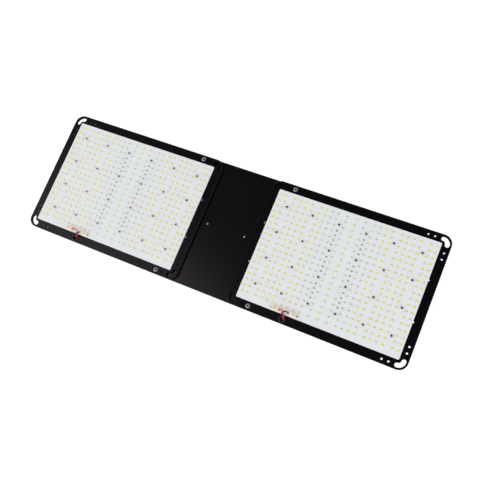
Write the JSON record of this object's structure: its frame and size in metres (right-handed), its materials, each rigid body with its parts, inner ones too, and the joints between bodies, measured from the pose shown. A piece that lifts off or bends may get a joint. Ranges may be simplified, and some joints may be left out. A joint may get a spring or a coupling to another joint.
{
  "type": "led grow light",
  "caption": "Twin-panel LED grow light: two flat black heat sinks with white LED boards, joined by a centre plate with a dimmable driver behind.",
  "frame": {"origin": "under the middle of the light, on the surface that its driver stands on", "axes": "+X along the length of the light, +Y across it away from the wired edge, +Z out of the LED side"},
  "size_m": [0.7296, 0.231, 0.0551],
  "materials": {
    "heat_sink": "black anodised, fine satin",
    "centre_plate": "black anodised sheet, fine satin",
    "led_board": "white solder mask on aluminium, satin",
    "wire_terminal": "cream moulded plastic",
    "grommet": "soft grey-black rubber",
    "rivet": "bright aluminium",
    "screw": "stainless steel",
    "driver_housing": "dark grey painted",
    "gland": "black nylon",
    "knob": "black plastic, fine ribs",
    "dimmer_metal": "nickel plated",
    "dimmer_body": "grey plastic",
    "circuit_board": "green solder mask",
    "ferrite": "dark ferrite",
    "capacitor": "dark shrink sleeve",
    "cable_jacket": "black rubber jacket",
    "red_wire": "red PVC insulation",
    "black_wire": "black PVC insulation",
    "splice": "light grey plastic",
    "clip": "black nylon",
    "led_white": "yellow phosphor under clear silicone",
    "led_red": "clear lens over a small dark red chip",
    "led_small": "small grey clear package",
    "board_screw": "dark plated steel",
    "solder": "solder joint"
  },
  "bodies": {
    "light": {"bulk_capacitor": "capacitor", "centre_plate": "centre_plate", "centre_screw_left": "screw", "centre_screw_right": "screw", "circuit_board": "circuit_board", "corner_rivet_left_front": "rivet", "corner_rivet_left_rear": "rivet", "corner_rivet_right_front": "rivet", "corner_rivet_right_rear": "rivet", "dimmer_body": "dimmer_body", "dimmer_nut": "dimmer_metal", "driver_case": "driver_housing", "flush_rivet_left_front": "rivet", "flush_rivet_left_rear": "rivet", "flush_rivet_right_front": "rivet", "flush_rivet_right_rear": "rivet", "heat_sink_left": "heat_sink", "heat_sink_right": "heat_sink", "inlet_end_plate": "driver_housing", "inlet_foot_screw_front": "screw", "inlet_foot_screw_rear": "screw", "inlet_gland": "gland", "inlet_plate_screw_1": "screw", "inlet_plate_screw_2": "screw", "inlet_plate_screw_3": "screw", "inlet_plate_screw_4": "screw", "input_choke": "ferrite", "lead_left_negative": "black_wire", "lead_left_positive": "red_wire", "lead_right_negative": "black_wire", "lead_right_positive": "red_wire", "led_board_left": "led_board", "led_board_right": "led_board", "outlet_end_plate": "driver_housing", "outlet_foot_screw_front": "screw", "outlet_foot_screw_rear": "screw", "outlet_gland": "gland", "outlet_plate_screw_1": "screw", "outlet_plate_screw_2": "screw", "outlet_plate_screw_3": "screw", "outlet_plate_screw_4": "screw", "output_cable": "cable_jacket", "output_capacitor": "capacitor", "output_core_negative": "black_wire", "output_core_positive": "red_wire", "plate_clip_1": "clip", "plate_clip_2": "clip", "slab_clip_left": "clip", "slab_clip_right": "clip", "splice_negative": "splice", "splice_positive": "splice", "terminal_left_negative": "wire_terminal", "terminal_left_positive": "wire_terminal", "terminal_right_negative": "wire_terminal", "terminal_right_positive": "wire_terminal", "transformer": "ferrite", "wire_grommet_left": "grommet", "wire_grommet_right": "grommet"},
    "dimmer": {"dimmer_knob": "knob", "dimmer_shaft": "dimmer_metal"}
  },
  "joints": [
    {"name": "dimmer_turn", "type": "hinge", "parent": "light", "child": "dimmer", "pos_m": [-0.111, 0.016, 0.017], "axis": [-1, 0, 0], "range_deg": [0, 270]}
  ]
}
